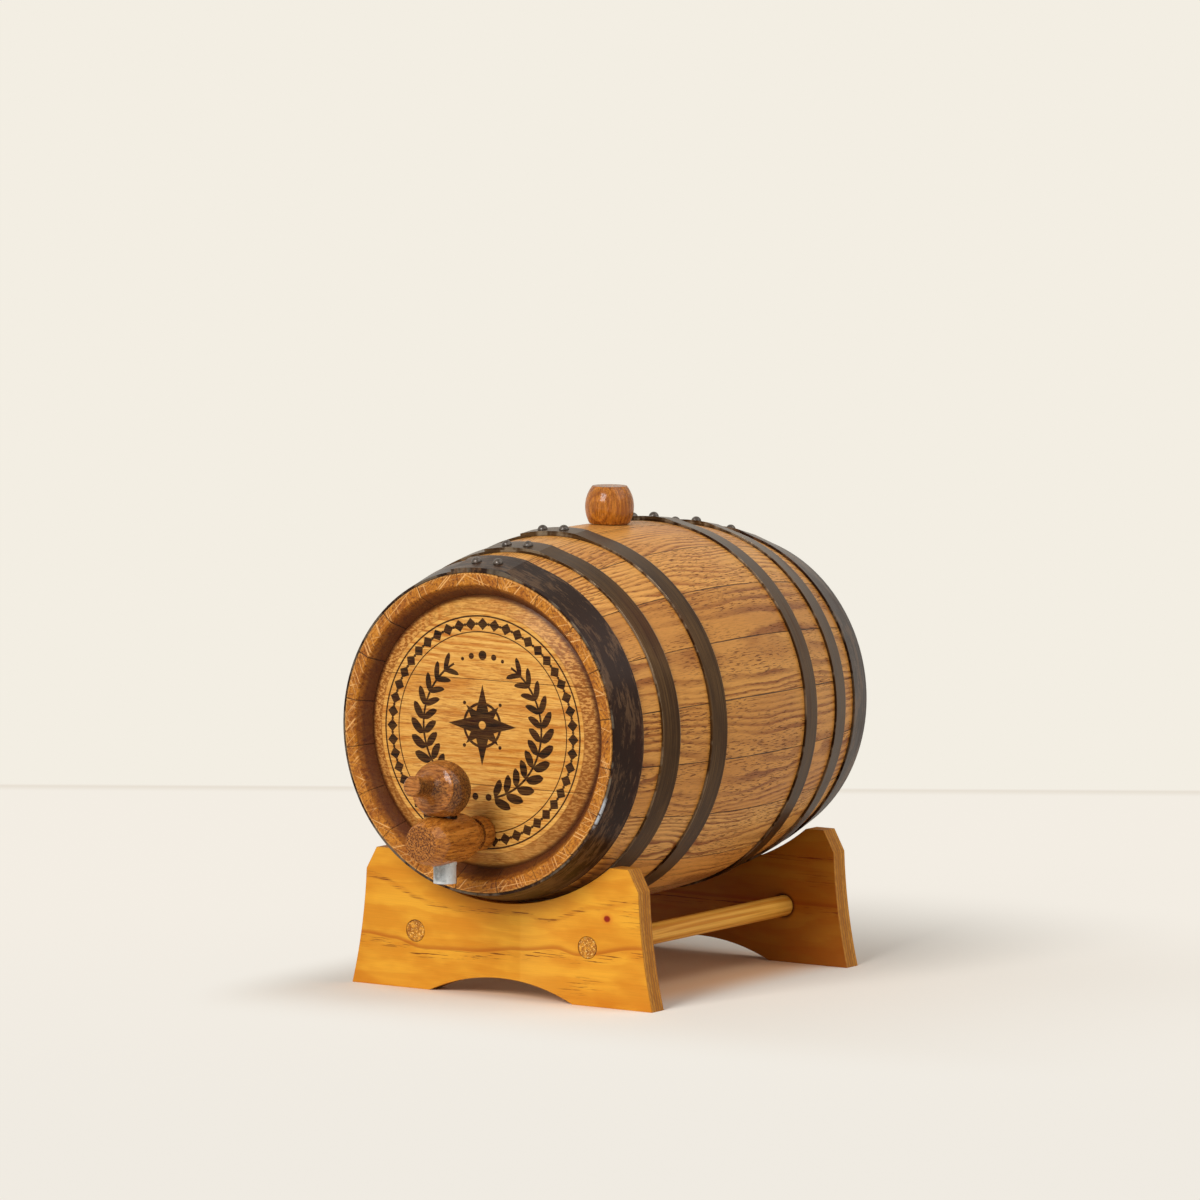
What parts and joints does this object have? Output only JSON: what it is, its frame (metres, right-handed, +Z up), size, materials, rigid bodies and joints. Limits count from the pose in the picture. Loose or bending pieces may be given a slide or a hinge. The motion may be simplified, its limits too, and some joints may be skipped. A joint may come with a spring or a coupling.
{
  "type": "oak cask liquor dispenser",
  "caption": "Small oak stave barrel with steel hoops, a bung on top, a turned wooden tap with a turning key, lying in a plywood cradle.",
  "frame": {"origin": "under the middle of the whole object's box, on the surface that the cradle stands on", "axes": "+X to the right seen from the tap, -Y out of the front head along the tap, +Z up"},
  "size_m": [0.16, 0.2484, 0.209],
  "materials": {
    "stave_oak": "oiled oak, satin",
    "head_oak": "varnished oak, satin",
    "pin_wood": "bare wood",
    "hoop_steel": "blackened steel with worn edges",
    "rivet_steel": "dark steel",
    "bung_wood": "turned wood, satin",
    "tap_wood": "turned wood, satin",
    "tap_plastic": "frosted translucent plastic",
    "cradle_plywood": "varnished pine plywood",
    "dowel_wood": "varnished beech"
  },
  "bodies": {
    "cradle": {"cradle_front": "cradle_plywood", "cradle_rear": "cradle_plywood", "dowel_left": "dowel_wood", "dowel_right": "dowel_wood"},
    "barrel": {"bung_stave": "stave_oak", "stave_02": "stave_oak", "stave_03": "stave_oak", "stave_04": "stave_oak", "stave_05": "stave_oak", "stave_06": "stave_oak", "stave_07": "stave_oak", "stave_08": "stave_oak", "stave_09": "stave_oak", "stave_10": "stave_oak", "stave_11": "stave_oak", "stave_12": "stave_oak", "stave_13": "stave_oak", "stave_14": "stave_oak", "stave_15": "stave_oak", "stave_16": "stave_oak", "stave_17": "stave_oak", "stave_18": "stave_oak", "stave_19": "stave_oak", "stave_20": "stave_oak", "front_head_top": "head_oak", "front_head_middle": "head_oak", "front_head_bottom": "head_oak", "rear_head_top": "head_oak", "rear_head_middle": "head_oak", "rear_head_bottom": "head_oak", "front_head_pins": "pin_wood", "rear_head_pins": "pin_wood", "front_head_hoop": "hoop_steel", "front_quarter_hoop": "hoop_steel", "front_bilge_hoop": "hoop_steel", "rear_bilge_hoop": "hoop_steel", "rear_quarter_hoop": "hoop_steel", "rear_head_hoop": "hoop_steel", "front_head_rivets": "rivet_steel", "front_quarter_rivets": "rivet_steel", "front_bilge_rivets": "rivet_steel", "rear_bilge_rivets": "rivet_steel", "rear_quarter_rivets": "rivet_steel", "rear_head_rivets": "rivet_steel", "tap_body": "tap_wood"},
    "bung": {"bung": "bung_wood"},
    "key": {"tap_plug": "tap_plastic", "tap_key": "tap_wood"}
  },
  "joints": [
    {"name": "barrel_lift", "type": "slide", "parent": "cradle", "child": "barrel", "axis": [0, 0, 1], "range_m": [0, 0.12]},
    {"name": "bung_pull", "type": "slide", "parent": "barrel", "child": "bung", "axis": [0, 0, 1], "range_m": [0, 0.05]},
    {"name": "key_turn", "type": "hinge", "parent": "barrel", "child": "key", "pos_m": [0, -0.09907, 0.07095], "axis": [0, 0, 1], "continuous": true}
  ]
}
